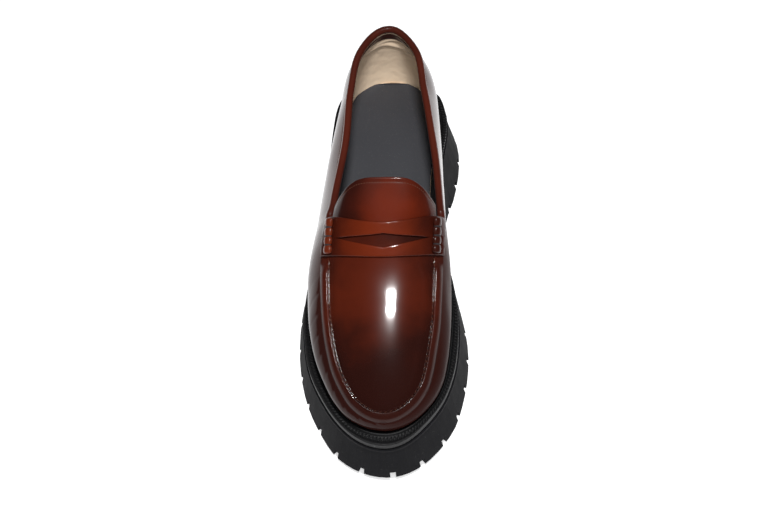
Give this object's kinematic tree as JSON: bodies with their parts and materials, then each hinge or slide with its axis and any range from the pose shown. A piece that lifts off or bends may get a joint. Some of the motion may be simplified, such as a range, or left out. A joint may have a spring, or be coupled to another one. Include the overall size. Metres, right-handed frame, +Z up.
{
  "type": "chunky lug sole loafer",
  "caption": "Right slip-on loafer with a saddle strap, a raised apron seam and a thick lugged platform sole.",
  "frame": {"origin": "middle of the sole's box, on the plane that the heel and forefoot lugs stand on", "axes": "+Y to the back of the heel, -Y to the toe, +X to the inner (medial) side of the foot, +Z up"},
  "size_m": [0.1141, 0.302, 0.1208],
  "materials": {
    "sole_rubber": "matte black moulded rubber",
    "welt_rubber": "satin black with a stitch texture",
    "upper_leather": "high gloss brush-off leather, chestnut darkening to near black",
    "binding_leather": "semi-gloss brown leather",
    "sock_leather": "matte dark grey leather"
  },
  "bodies": {
    "root": {"outsole": "sole_rubber", "welt": "welt_rubber", "upper": "upper_leather", "tongue": "upper_leather", "strap": "upper_leather", "beef_roll_lateral": "upper_leather", "beef_roll_medial": "upper_leather", "collar_binding": "binding_leather", "insole": "sock_leather"}
  },
  "joints": []
}
